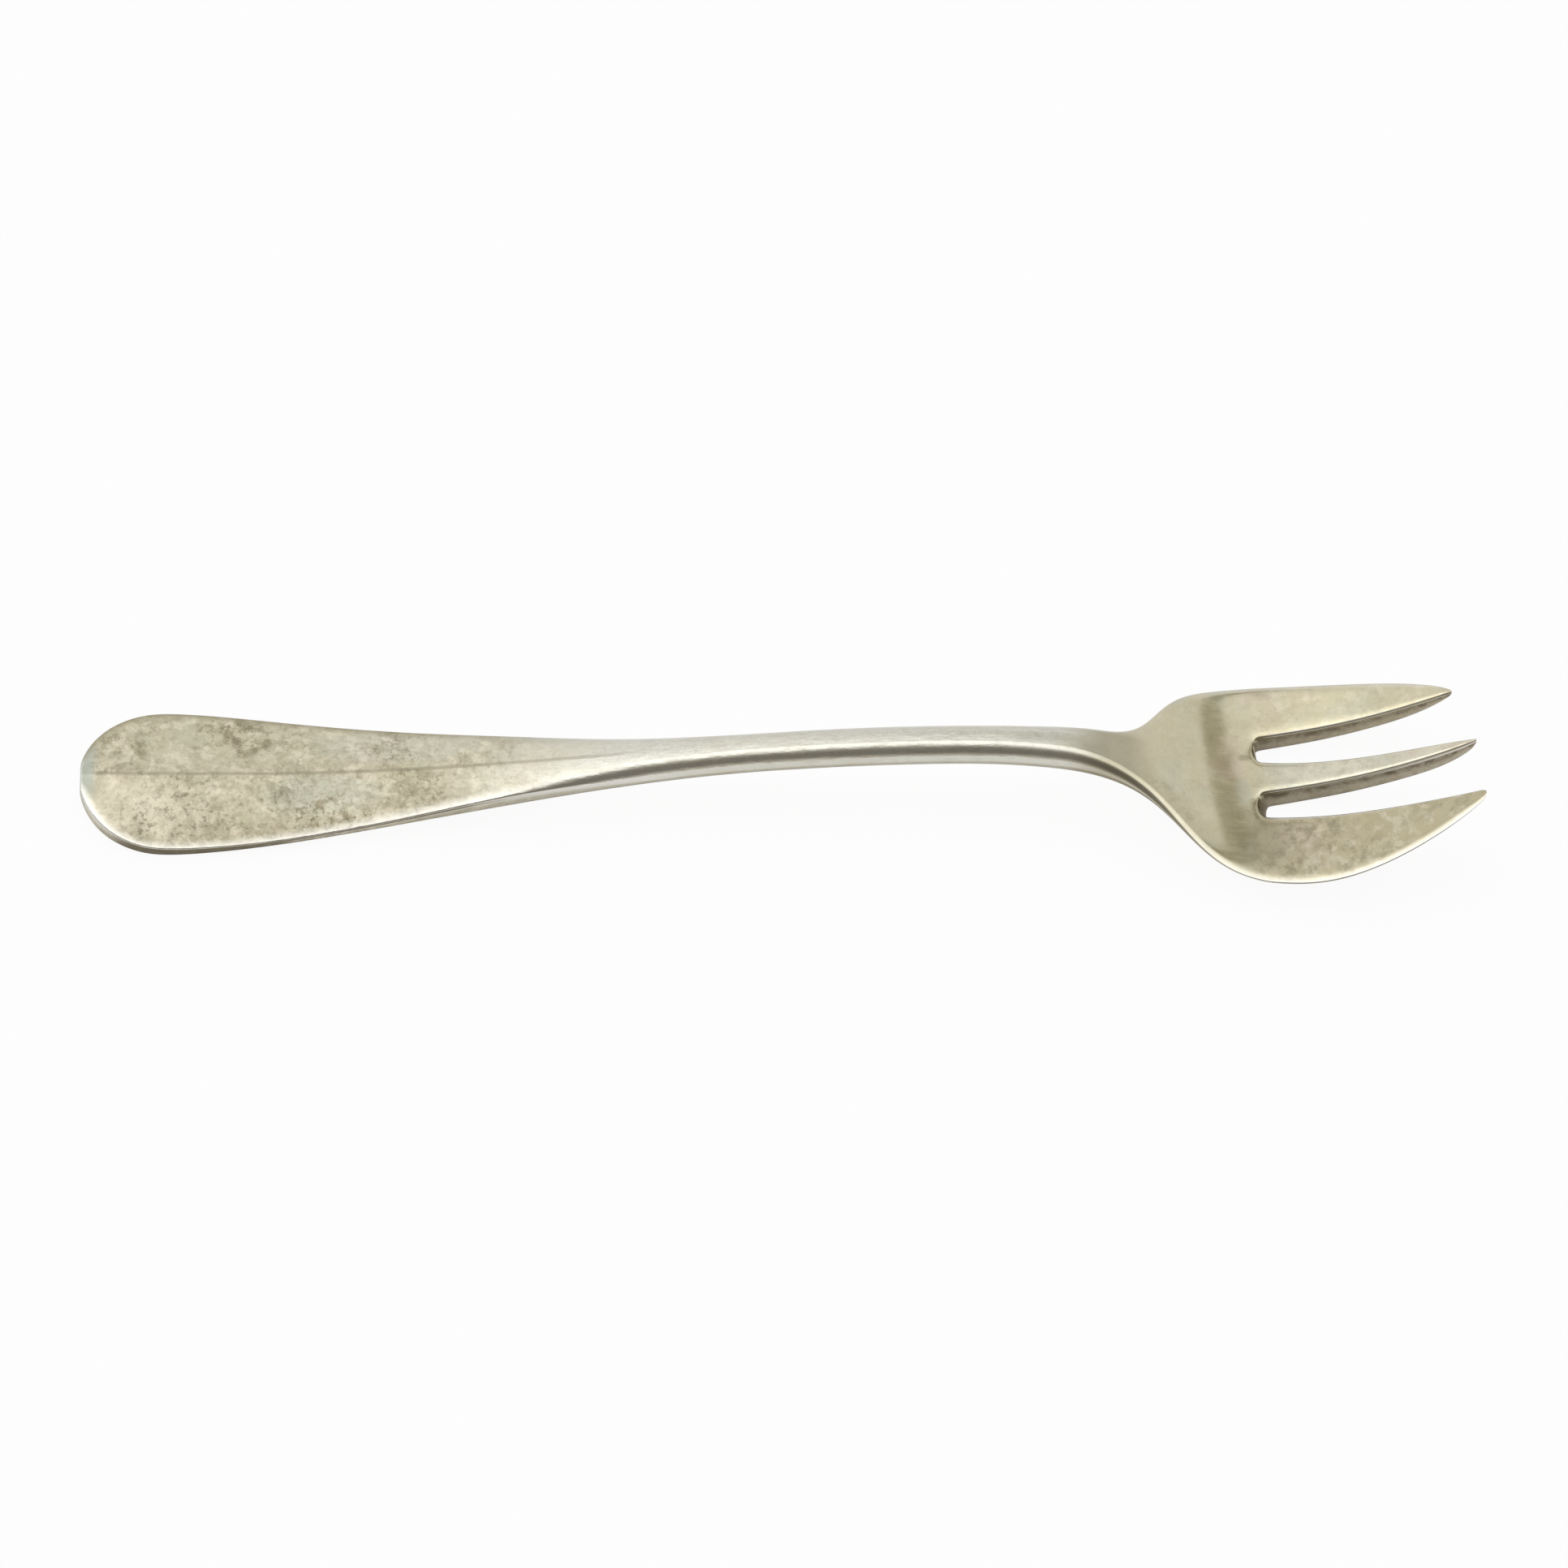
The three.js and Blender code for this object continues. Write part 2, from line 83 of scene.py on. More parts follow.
def rows_across(name):
    """The rows of one stretch, from the handle's end: each lists (front, back) points across the fork."""
    rows = {}
    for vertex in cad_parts[name].data.vertices:
        x, y, z = vertex.co
        row = rows.setdefault(round(x / SAME_PLACE), {})
        row.setdefault(round(y / SAME_PLACE), set()).add((x, y, z))
    ordered = []
    for place in sorted(rows):
        pairs = []
        for across in sorted(rows[place], reverse=True):
            heights = sorted(rows[place][across], key=lambda point: point[2])
            pairs.append((heights[-1], heights[0]))
        ordered.append(pairs)
    return ordered


def skin_quads(rows):
    """The quads of one stretch: its front, its back and its two side walls."""
    quads = []
    for near, far in zip(rows, rows[1:]):
        for c in range(len(near) - 1):
            quads.append((near[c][0], near[c + 1][0], far[c + 1][0], far[c][0]))
            quads.append((near[c][1], far[c][1], far[c + 1][1], near[c + 1][1]))
        quads.append((near[0][0], far[0][0], far[0][1], near[0][1]))
        quads.append((near[-1][0], near[-1][1], far[-1][1], far[-1][0]))
    return quads


def nose_quads(net, first, marks):
    """The handle's end: a blunt nose between the front and the back of its first row."""
    nose = []
    for front, back in first:
        middle = (front.co + back.co) / 2
        tip = net.verts.new((middle.x - NOSE, middle.y, middle.z))
        tip[marks.rim] = 1
        tip[marks.foot] = NOSE_FOOT
        nose.append(tip)
    quads = []
    for c in range(len(first) - 1):
        quads.append((first[c][0], nose[c], nose[c + 1], first[c + 1][0]))
        quads.append((nose[c], first[c][1], first[c + 1][1], nose[c + 1]))
    quads.append((first[0][0], first[0][1], nose[0]))
    quads.append((first[-1][0], nose[-1], first[-1][1]))
    return quads


def point_quads(last):
    """The small flat at the point of a tine."""
    return [(last[c][0], last[c + 1][0], last[c + 1][1], last[c][1]) for c in range(len(last) - 1)]


def mark_rim(row, name, marks):
    """Marks the trimmed rim, its foot and the slots' walls, which wear, tarnish and take painted shade in
    their own ways.
    """
    sides = {"plain_tine": [row], "cutting_tine": [row[::-1]], "middle_tine": []}
    for side in sides.get(name, [row, row[::-1]]):
        for pair, worn in zip(side, RIM_COLUMNS):
            pair[0][marks.rim] = worn
            pair[1][marks.rim] = worn
            pair[1][marks.foot] = 1
    inner = {"plain_tine": [-1], "cutting_tine": [0], "middle_tine": [0, -1]}
    for column in inner.get(name, []):
        row[column][0][marks.wall] = WALL_TOP
        row[column][1][marks.wall] = WALL_FOOT


def file_edges(row, start):
    """Along the handle the edges are filed thin, with a narrow flat bevel that runs out by the stem."""
    x = row[0][0].co.x
    filed = min(1, max(0, (FILED_END - x) / FILED_RUN))
    thinned = min(1, max(0, (THINNED_END - x) / FILED_RUN), (x - start) / THINNED_START)
    half = (row[0][0].co.y - row[-1][0].co.y) / 2
    for front, back in row:
        out = (front.co.y - FORK_AXIS) / half
        front.co.y += EDGE_WIDENING * out * thinned
        back.co.y += EDGE_WIDENING * out * thinned
        front.co.z -= EDGE_THINNING * abs(out) * thinned
        back.co.z += EDGE_THINNING * abs(out) ** 3 * thinned
    if x - start < BEVEL_START:
        return
    last = len(RIM_COLUMNS) - 1
    for side in (row, row[::-1]):
        inner, further = side[last][0].co, side[last + 1][0].co
        slope = (inner.z - further.z) / (inner.y - further.y)
        for pair, share in zip(side, RIM_COLUMNS[:-1]):
            edge = pair[0].co
            flat = inner.z + slope * (edge.y - inner.y) - BEVEL_FALL * share
            edge.z += (flat - edge.z) * filed


def finish_handle(net, rows, marks):
    """The handle's end is all rim, its edges are filed, and its ridge is sharp until near the stem."""
    first = rows[0]
    for front, back in first:
        front[marks.rim] = 1
        back[marks.rim] = 1
        back[marks.foot] = 1
    start = first[0][0].co.x
    for row in rows:
        file_edges(row, start)
    middle = len(first) // 2
    for step, (near, far) in enumerate(zip(rows, rows[1:])):
        left = len(rows) - 2 - step
        ridge = net.edges.get((near[middle][0], far[middle][0]))
        ridge[marks.ridge] = RIDGE_SHARPNESS * min(1, left / RIDGE_RUN_OUT)


def slope_roots(net, wall):
    """The punch left the root of each slot sloping: its foot lies further along the fork than its top."""
    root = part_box("head_plate")[1][0]
    for vertex in net.verts:
        past = (vertex.co.x - root) / ROOT_REACH
        if vertex[wall] == WALL_FOOT and past < 1:
            slope = FAR_ROOT_SLOPE if vertex.co.y > FORK_AXIS else NEAR_ROOT_SLOPE
            vertex.co.x += slope * (1 - past)


def draw_net():
    """One closed net of quads over all the stretches, which remembers the stretch of each quad."""
    net = bmesh.new()
    marks = SimpleNamespace()
    marks.stretch = net.faces.layers.int.new("stretch")
    marks.ridge = net.edges.layers.float.new("ridge")
    marks.rim = net.verts.layers.float.new("rim")
    marks.wall = net.verts.layers.float.new("wall")
    marks.foot = net.verts.layers.float.new("foot")
    for number, name in enumerate(STRETCHES):
        rows = [[[net.verts.new(point) for point in pair] for pair in row] for row in rows_across(name)]
        quads = skin_quads(rows)
        if name == "handle":
            quads += nose_quads(net, rows[0], marks)
        if name.endswith("tine"):
            quads += point_quads(rows[-1])
        for quad in quads:
            net.faces.new(quad)[marks.stretch] = number
        for row in rows:
            mark_rim(row, name, marks)
        if name == "handle":
            finish_handle(net, rows, marks)
    bmesh.ops.remove_doubles(net, verts=net.verts, dist=SAME_PLACE)
    slope_roots(net, marks.wall)
    bmesh.ops.recalc_face_normals(net, faces=net.faces)
    mesh = bpy.data.meshes.new("blank")
    net.to_mesh(mesh)
    net.free()
    return mesh


def add_node(tree, kind, settings, sockets):
    """One node of the pressing tree: its settings first, then the values or links of its sockets."""
    node = tree.nodes.new(kind)
    for name, value in settings.items():
        setattr(node, name, value)
    for key, value in sockets.items():
        if isinstance(value, bpy.types.NodeSocket):
            tree.links.new(value, node.inputs[key])
        else:
            node.inputs[key].default_value = value
    return node


def press_tree():
    """The net is smoothed, the ridge stays sharp, and the hand-worked metal is left a little uneven."""
    tree = bpy.data.node_groups.new("pressed_blank", "GeometryNodeTree")
    face = tree.interface
    face.new_socket("Blank", in_out="INPUT", socket_type="NodeSocketGeometry")
    kinds = {"Smoothing": "Int", "Unevenness": "Float", "Waves per Metre": "Float", "Plate": "Material"}
    inputs = {}
    for name, kind in kinds.items():
        inputs[name] = face.new_socket(name, in_out="INPUT", socket_type="NodeSocket" + kind)
    face.new_socket("Pressed", in_out="OUTPUT", socket_type="NodeSocketGeometry")
    given = tree.nodes.new("NodeGroupInput").outputs
    ridge = add_node(tree, "GeometryNodeInputNamedAttribute", {"data_type": "FLOAT"}, {"Name": "ridge"})
    smooth = add_node(
        tree,
        "GeometryNodeSubdivisionSurface",
        {"boundary_smooth": "PRESERVE_CORNERS"},
        {"Mesh": given["Blank"], "Level": given["Smoothing"], "Edge Crease": ridge.outputs["Attribute"]},
    )
    waves = add_node(
        tree,
        "ShaderNodeTexNoise",
        {"noise_dimensions": "4D"},
        {"W": WAVE_SEED, "Scale": given["Waves per Metre"], "Detail": WAVE_DETAIL},
    )
    middle = add_node(
        tree,
        "ShaderNodeMath",
        {"operation": "SUBTRACT"},
        {0: waves.outputs["Fac"], 1: NOISE_MIDDLE},
    )
    height = add_node(
        tree,
        "ShaderNodeMath",
        {"operation": "MULTIPLY"},
        {0: middle.outputs[0], 1: given["Unevenness"]},
    )
    normal = tree.nodes.new("GeometryNodeInputNormal")
    move = add_node(
        tree,
        "ShaderNodeVectorMath",
        {"operation": "SCALE"},
        {"Vector": normal.outputs["Normal"], "Scale": height.outputs[0]},
    )
    uneven = add_node(
        tree,
        "GeometryNodeSetPosition",
        {},
        {"Geometry": smooth.outputs["Mesh"], "Offset": move.outputs["Vector"]},
    )
    shaded = add_node(tree, "GeometryNodeSetShadeSmooth", {}, {"Geometry": uneven.outputs["Geometry"]})
    real = add_node(tree, "GeometryNodeRealizeInstances", {}, {"Geometry": shaded.outputs["Geometry"]})
    plated = add_node(
        tree,
        "GeometryNodeSetMaterial",
        {},
        {"Geometry": real.outputs["Geometry"], "Material": given["Plate"]},
    )
    result = tree.nodes.new("NodeGroupOutput")
    tree.links.new(plated.outputs["Geometry"], result.inputs["Pressed"])
    return tree, {name: socket.identifier for name, socket in inputs.items()}


# The silver plate
# A film of silver a few hundredths of a millimetre thick over the whole blank, with fine brush marks,
# streaks and shallow dents, rubbed bright along the trimmed rim. The handle and the head add tarnish and
# painted shade.
# A pair of numbers is where a mark starts and where it is full: millimetres, or shares of a mark or noise.
CLEAN = (0.80, 0.79, 0.70, 1)
RUBBED = (0.90, 0.89, 0.85, 1)
BROWN = (0.24, 0.20, 0.13, 1)
YELLOWED = (0.68, 0.64, 0.50, 1)
POLISH = 0.2
RUBBED_POLISH = 0.72
DENT_DEPTH = 0.03 * MM
DENTED = (30, 20)
STREAKED = (0.45, 0.65)
CLOUDED = (0.42, 0.66)
SPECKED = (0.6, 0.74)
STEM_FROM_HANDLE = (-16, -4)
STEM_FROM_HEAD = (38, 30)
YELLOWED_FOOT = (0.1, 0.6)
DULL_FOOT = (0.2, 0.6)
LEAST_GRAIN = 0.32


class Reading:
    """A shader socket that can be written into sums: each operator adds a Math node."""

    def __init__(self, socket):
        self.socket = socket

    def node(self, kind, settings, sockets, output=0):
        """Any other node: its settings are set first, then the values or links of its sockets."""
        tree = self.socket.id_data
        made = tree.nodes.new("ShaderNode" + kind)
        stops = settings.pop("stops", None)
        for name, value in settings.items():
            setattr(made, name, value)
        if stops:
            ramp = made.color_ramp
            while len(ramp.elements) < len(stops):
                ramp.elements.new(0.5)
            for element, (place, level) in zip(ramp.elements, stops):
                element.position = place
                element.color = (level, level, level, 1)
        for key, value in sockets.items():
            if isinstance(value, Reading):
                tree.links.new(value.socket, made.inputs[key])
            else:
                made.inputs[key].default_value = value
        return Reading(made.outputs[output])

    def sum(self, operation, first, second):
        """One Math node over two values or readings."""
        return self.node("Math", {"operation": operation}, {0: first, 1: second})

    def __add__(self, other):
        return self.sum("ADD", self, other)

    def __sub__(self, other):
        return self.sum("SUBTRACT", self, other)

    def __rsub__(self, other):
        return self.sum("SUBTRACT", other, self)

    def __mul__(self, other):
        return self.sum("MULTIPLY", self, other)

    def __truediv__(self, other):
        return self.sum("DIVIDE", self, other)

    def __abs__(self):
        return self.sum("ABSOLUTE", self, 0)

    __radd__ = __add__
    __rmul__ = __mul__

    def step(self, start, full):
        """0 up to the first value, 1 past the second, and a soft change between them."""
        settings = {"interpolation_type": "SMOOTHSTEP"}
        return self.node("MapRange", settings, {"Value": self, "From Min": start, "From Max": full})

    def blend(self, first, second):
        """Mixes two colours by this share."""
        return self.node("Mix", {"data_type": "RGBA"}, {0: self, 6: first, 7: second}, 2)


def surface_readings(nodes):
    """What a film depends on: the place on the fork in millimetres, the marks, and noise at any scale."""
    place = Reading(nodes.new("ShaderNodeTexCoord").outputs["Object"])
    here = place.node("VectorMath", {"operation": "SCALE"}, {"Vector": place, "Scale": 1 / MM})

    def cloud(per_mm, detail, seed, roughness=0.5, stretch=(1, 1, 1)):
        """Noise of a given fineness, which can be stretched along the fork."""
        drawn = here.node("VectorMath", {"operation": "MULTIPLY"}, {0: here, 1: stretch})
        sockets = {"Vector": drawn, "W": seed, "Scale": per_mm, "Detail": detail, "Roughness": roughness}
        return here.node("TexNoise", {"noise_dimensions": "4D"}, sockets)

    at = SimpleNamespace(cloud=cloud)
    at.x = here.node("SeparateXYZ", {}, {0: here}, 0)
    at.y = here.node("SeparateXYZ", {}, {0: here}, 1) - FORK_AXIS / MM
    at.rim = place.node("Attribute", {"attribute_name": "rim"}, {}, "Fac")
    at.wall = place.node("Attribute", {"attribute_name": "wall"}, {}, "Fac")
    at.foot = place.node("Attribute", {"attribute_name": "foot"}, {}, "Fac")
    at.grain = cloud(per_mm=3.0, detail=3, seed=4.0, roughness=0.7)
    at.speck = cloud(per_mm=2.0, detail=2, seed=5.0, roughness=0.6)
    return at


def plate_material(name, film=None):
    """Silver plate with fine brush marks and a bright rim, under the film that its stretch has grown."""
    material = bpy.data.materials.new(name)
    material.use_nodes = True
    nodes = material.node_tree.nodes
    at = surface_readings(nodes)
    brushed = at.cloud(per_mm=1.6, detail=2, seed=8.0, stretch=(0.5, 3.0, 1.0))
    streak = at.cloud(per_mm=0.5, detail=3, seed=11.0, roughness=0.6, stretch=(0.35, 2.5, 1.5))
    streak = streak.step(*STREAKED)
    cloudy = at.cloud(per_mm=1.3, detail=3, seed=13.0, roughness=0.65, stretch=(0.5, 1.6, 1.6))
    colour = (0.3 * streak + 0.6 * at.foot.step(*YELLOWED_FOOT)).blend(CLEAN, YELLOWED)
    colour = (at.speck.step(*SPECKED) * 0.16 + cloudy.step(*CLOUDED) * 0.12).blend(colour, BROWN)
    colour = ((at.grain - LEAST_GRAIN) * 0.28).blend(colour, BROWN)
    rough = POLISH + 0.1 * (brushed - NOISE_MIDDLE) + 0.06 * streak
    stem = at.x.step(*STEM_FROM_HANDLE) * at.x.step(*STEM_FROM_HEAD)
    rubbed = at.rim * (1 - at.wall) * (1 - 0.8 * at.foot.step(*DULL_FOOT)) * (1 - 0.75 * stem)
    if film:
        colour, rough, rubbed = film(at, colour, rough, rubbed)
    colour = (rubbed * (0.5 + 0.4 * at.grain)).blend(colour, RUBBED)
    rough = rough * (1 - RUBBED_POLISH * rubbed)
    dents = at.cloud(per_mm=1.1, detail=3, seed=12.0, roughness=0.6, stretch=(0.5, 1.6, 1.6))
    height = dents * at.x.step(*DENTED)
    uneven = dents.node("Bump", {}, {"Strength": 1, "Distance": DENT_DEPTH, "Height": height})
    shader = nodes["Principled BSDF"]
    shader.inputs["Metallic"].default_value = 1
    links = material.node_tree.links
    links.new(colour.socket, shader.inputs["Base Color"])
    links.new(rough.socket, shader.inputs["Roughness"])
    links.new(uneven.socket, shader.inputs["Normal"])
    return material


bare_plate = plate_material("bare_plate")
holder = bpy.data.objects.new("blank", draw_net())
bpy.context.scene.collection.objects.link(holder)
press, setting = press_tree()
pressing = holder.modifiers.new("pressing", "NODES")
pressing.node_group = press
pressing[setting["Smoothing"]] = SMOOTHING
pressing[setting["Unevenness"]] = UNEVENNESS
pressing[setting["Waves per Metre"]] = WAVES_PER_METRE
pressing[setting["Plate"]] = bare_plate
graph = bpy.context.evaluated_depsgraph_get()
skin = bpy.data.meshes.new_from_object(holder.evaluated_get(graph), depsgraph=graph)
bpy.data.objects.remove(holder)


def read_mark(name):
    """The values of one mark over the whole skin."""
    return np.array([item.value for item in skin.attributes[name].data])


skin_points = np.array([vertex.co for vertex in skin.vertices])
skin_normals = np.array([normal.vector for normal in skin.vertex_normals])
skin_stretch = read_mark("stretch")
skin_marks = {name: read_mark(name) for name in ("rim", "wall", "foot")}


def cut_stretch(name):
    """One stretch of the skin as a closed piece of its own, shaded as part of the whole fork."""
    chosen = np.flatnonzero(skin_stretch == STRETCHES.index(name))
    faces = [skin.polygons[number].vertices[:] for number in chosen]
    used = sorted({vertex for face in faces for vertex in face})
    place = {vertex: i for i, vertex in enumerate(used)}
    piece = bmesh.new()
    verts = [piece.verts.new(skin_points[vertex]) for vertex in used]
    for face in faces:
        piece.faces.new([verts[place[vertex]] for vertex in face]).smooth = True
    open_edges = [edge for edge in piece.edges if edge.is_boundary]
    bmesh.ops.holes_fill(piece, edges=open_edges, sides=0)
    mesh = bpy.data.meshes.new(name)
    piece.to_mesh(mesh)
    piece.free()
    normals = []
    for face in mesh.polygons:
        for vertex in face.vertices:
            normals.append(skin_normals[used[vertex]] if face.use_smooth else face.normal[:])
    mesh.normals_split_custom_set(normals)
    for mark, values in skin_marks.items():
        mesh.attributes.new(mark, "FLOAT", "POINT").data.foreach_set("value", values[used])
    return mesh


def set_in_frame(name, material):
    """Puts a stretch's skin in the place of its solid."""
    mesh = cut_stretch(name)
    mesh.materials.append(material)
    piece = bpy.data.objects.new(name + "_skin", mesh)
    bpy.context.scene.collection.objects.link(piece)
    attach(piece, "root")
    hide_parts(name)


# The handle
# A round-ended spatula with a low ridge struck along its front. Years in the hand have left a warm tan film
# with cream, olive and brown patches and a fine dark line along the ridge. Its side walls carry painted
# shade for the table's shadow that they mirror, and its far rim a painted dark reflection.
# A stain's four numbers are its place along and across the fork, its half length and its half width.
TAN = (0.69, 0.65, 0.49, 1)
CREAM = (0.86, 0.80, 0.64, 1)
OLIVE = (0.37, 0.33, 0.22, 1)
GREEN = (0.60, 0.63, 0.51, 1)
ROSE = (0.74, 0.62, 0.50, 1)
SEA_GREY = (0.52, 0.58, 0.52, 1)
RIDGE_DIRT = (0.34, 0.30, 0.22, 1)
# Painted shade for the side walls, standing in for the table's shadow that they mirror.
PAINTED_WALL_SHADE = (0.20, 0.17, 0.12, 1)
NEAR_HALF = (0.2, -0.6)
FAR_HALF = (0.5, 2.5)
GRIP = (-13, -36)
NEAR_GRIP_DELAY = 3
PATCHES = (0.36, 0.62)
MOTTLING = (0.42, 0.64)
GREEN_TINGE = (0.54, 0.68)
ROSE_TINGE = (0.46, 0.34)
CREAM_SPOTS = (0.46, 0.62)
PITS = (0.52, 0.64)
STAIN_RAGGEDNESS = 1.4
STAIN_FADE = (1.1, 0.1)
CREAM_BLOOM = (-63, -4.5, 8, 4)
SMOKY_STAIN = (-54, 5, 8, 3)
CORNER_STAIN = (-67, 3, 4, 3)
SEA_GREY_STAIN = (-46, -2.4, 7, 2.6)
FRECKLES = (-45, -4.6, 5, 2.4)
CLEAN_STAIN = (-38, 3.4, 10, 3)
RIDGE_LINE = (0.32, 0.06)
RIDGE_LINE_RUN = (-12, -20)
CREAM_END = (-64, -68)
GREY_END = (-68.4, -69.8)
GREY_END_SIDE = (-4, -1)
# Where the side walls get painted shade: the whole wall near the end, only its upper part towards the stem.
SIDE_WALL = (0.965, 0.995)
WALL_BACK = (0.02, 0.12)
WALL_SHADE_FROM_STEM = (-24, -34)
WALL_SHADE_FROM_END = (-69.5, -65)
UNSHADED_FOOT = (0.12, 0.4)
UNSHADED_RUN = (-54, -44)


def stain(at, oval, edge):
    """A soft oval patch of film with a ragged edge."""
    along, across, length, width = oval
    right = (at.x - along) / length
    up = (at.y - across) / width
    ragged = STAIN_RAGGEDNESS * (edge - NOISE_MIDDLE)
    return (right * right + up * up + ragged).step(*STAIN_FADE)


def tarnish(at):
    """The noises that a film grows by, from broad clouds down to spots."""
    patch = at.cloud(per_mm=0.2, detail=4, seed=2.0, roughness=0.6)
    mottle = at.cloud(per_mm=0.9, detail=4, seed=3.0, roughness=0.72)
    return SimpleNamespace(
        wander=at.cloud(per_mm=0.09, detail=3, seed=1.0),
        tint=at.cloud(per_mm=0.22, detail=2, seed=7.0),
        edge=at.cloud(per_mm=0.5, detail=4, seed=2.5, roughness=0.65),
        cream=at.cloud(per_mm=0.75, detail=3, seed=9.0, roughness=0.6),
        patch=patch.step(*PATCHES),
        mottle=mottle.step(*MOTTLING),
    )


def handle_film(at, colour, rough, rubbed):
    """Tan tarnish with stains, pits and a dirty ridge, which thins out towards the stem, with painted shade
    on the side walls and a painted dark reflection on the far rim.
    """
    x, y = at.x, at.y
    noise = tarnish(at)
    near = y.step(*NEAR_HALF)
    far = y.step(*FAR_HALF)
    grip = (x + NEAR_GRIP_DELAY * near).step(*GRIP)
    colour = (grip * (0.65 + 0.7 * noise.wander)).blend(colour, TAN)
    colour = (noise.tint.step(*GREEN_TINGE) * 0.2 * grip).blend(colour, GREEN)
    colour = (noise.tint.step(*ROSE_TINGE) * 0.3 * grip).blend(colour, ROSE)

    bloom = stain(at, CREAM_BLOOM, noise.edge)
    smoky = stain(at, SMOKY_STAIN, noise.edge)
    corner = stain(at, CORNER_STAIN, noise.edge)
    grey = stain(at, SEA_GREY_STAIN, noise.edge)
    freckled = stain(at, FRECKLES, noise.edge)
    pale = stain(at, CLEAN_STAIN, noise.edge)
    cream = noise.cream.step(*CREAM_SPOTS)
    colour = (cream * 0.8 * grip).blend(colour, CREAM)
    colour = (bloom * 0.9).blend(colour, CREAM)
    colour = (pale * 0.4).blend(colour, CLEAN)
    colour = (grey * (0.15 + 0.4 * noise.edge)).blend(colour, SEA_GREY)
    dark = 0.2 + 0.35 * noise.patch + 0.6 * smoky + 0.45 * corner + 0.45 * freckled + 0.15 * near
    colour = (dark * noise.mottle * (1 - 0.35 * bloom) * grip).blend(colour, OLIVE)
    pitted = 0.12 + 0.5 * noise.patch + 0.15 * near + 0.6 * freckled + 0.3 * bloom * noise.patch
    colour = (at.speck.step(*PITS) * pitted * 0.6 * grip).blend(colour, BROWN)
    colour = ((at.grain - LEAST_GRAIN) * (0.45 + 0.25 * near) * grip).blend(colour, OLIVE)

    line = abs(y).step(*RIDGE_LINE) * x.step(*RIDGE_LINE_RUN) * (0.6 + 0.4 * noise.wander)
    colour = (line * 0.62).blend(colour, RIDGE_DIRT)
    colour = (x.step(*CREAM_END) * near * (0.4 + 0.4 * cream)).blend(colour, CREAM)
    colour = (x.step(*GREY_END) * y.step(*GREY_END_SIDE) * 0.7).blend(colour, SEA_GREY)

    # A painted dark reflection: the far rim of the grip is painted olive, and it loses its rubbed
    # brightness below.
    colour = (at.rim * far * grip * 0.75).blend(colour, OLIVE)
    # Painted shade on the side walls, for the table's shadow mirrored in them; it also takes away their
    # rubbed brightness.
    side = at.rim.step(*SIDE_WALL)
    wall = side + at.foot.step(*WALL_BACK) * (1 - side)
    unshaded_foot = at.foot.step(*UNSHADED_FOOT) * x.step(*UNSHADED_RUN)
    painted_wall_shade = wall * (1 - unshaded_foot) * x.step(*WALL_SHADE_FROM_STEM) * x.step(*WALL_SHADE_FROM_END)
    colour = (painted_wall_shade * 0.8).blend(colour, PAINTED_WALL_SHADE)
    rubbed = rubbed * (1 - far * grip) * (1 - painted_wall_shade)
    rough = rough + 0.3 * grip + 0.12 * noise.patch * grip
    return colour, rough, rubbed


set_in_frame("handle", plate_material("handle_plate", handle_film))


# The stem
# The slim arched shank, nearly oval in section, drawn out of the same blank and bent over a former.
# It is the best-kept stretch of the plate, still polished, and has no film of its own.
set_in_frame("stem", bare_plate)


# The head
# The neck spreads into a plate with two punched slots, which leave a plain, a middle and a cutting tine.
# The film is buff with green and rose patches, duller on the cutting side, and brown on the slots' walls,
# partly tarnish and partly painted shade. Painted shade darkens the walls' tops, the slots' roots and the
# foot under the cutting edge.
BUFF = (0.70, 0.64, 0.455, 1)
DULL = (0.46, 0.40, 0.25, 1)
# The slots' walls: brown, partly tarnish and partly painted shade.
SLOT_TARNISH_AND_SHADE = (0.46, 0.40, 0.30, 1)
# Painted shade, at the tops of the slots' walls and on the foot under the cutting edge.
DARK_PAINTED_SHADE = (0.16, 0.13, 0.09, 1)
NECK_BROWN = (0.44, 0.38, 0.27, 1)
HEAD_START = 27.6
HEAD = (HEAD_START, 40)
HEAD_GREEN_TINGE = (0.52, 0.66)
HEAD_CREAM_SPOTS = (0.48, 0.64)
HEAD_PITS = (0.58, 0.72)
TINES = (46, 52)
MIDDLE_TINE_AXIS = -0.2
MIDDLE_TINE = (2.6, 1.4)
MIDDLE_TINE_RUN = (48, 52)
CUTTING_SIDE = (-2.6, -6)
CUTTING_RUN = (43, 50)
CUTTING_POINT = (56, 62)
PLAIN_SIDE = (3, 5)
PLAIN_RUN = (46, 50)
THROAT_START = (27.8, 33)
THROAT_END = (38.4, 34.6)
THROAT_FAR_EDGE = (1.6, 2.8)
SHOULDER = (1.5, -2)
SHOULDER_SLANT = 0.95
SHOULDER_MIDDLE = 36
SHOULDER_START = (34, 38)
SHOULDER_END = (47, 43)
LOW_CORNER = (48.8, -8, 3.4, 3.4)
CUTTING_BLUSH = (52.3, -7.5, 3, 2)
PLAIN_BLUSH = (49.2, 9.8, 2.4, 1.1)
GREEN_STAIN = (47.1, -2.2, 1.1, 2.2)
# Ragged spots of painted shade where the two slots begin.
PLAIN_ROOT_SHADE = (47.5, 2.2, 0.8, 0.5)
CUTTING_ROOT_SHADE = (48.6, -3.3, 1.2, 0.6)
NECK_START = (HEAD_START, 32)
NECK_END = (46, 40)
NECK_FOOT = (0.02, 0.2)
# Where painted shade darkens the foot under the cutting edge.
CUTTING_FOOT = (0.1, 0.3)
CUTTING_FOOT_SIDE = (-3, -5)
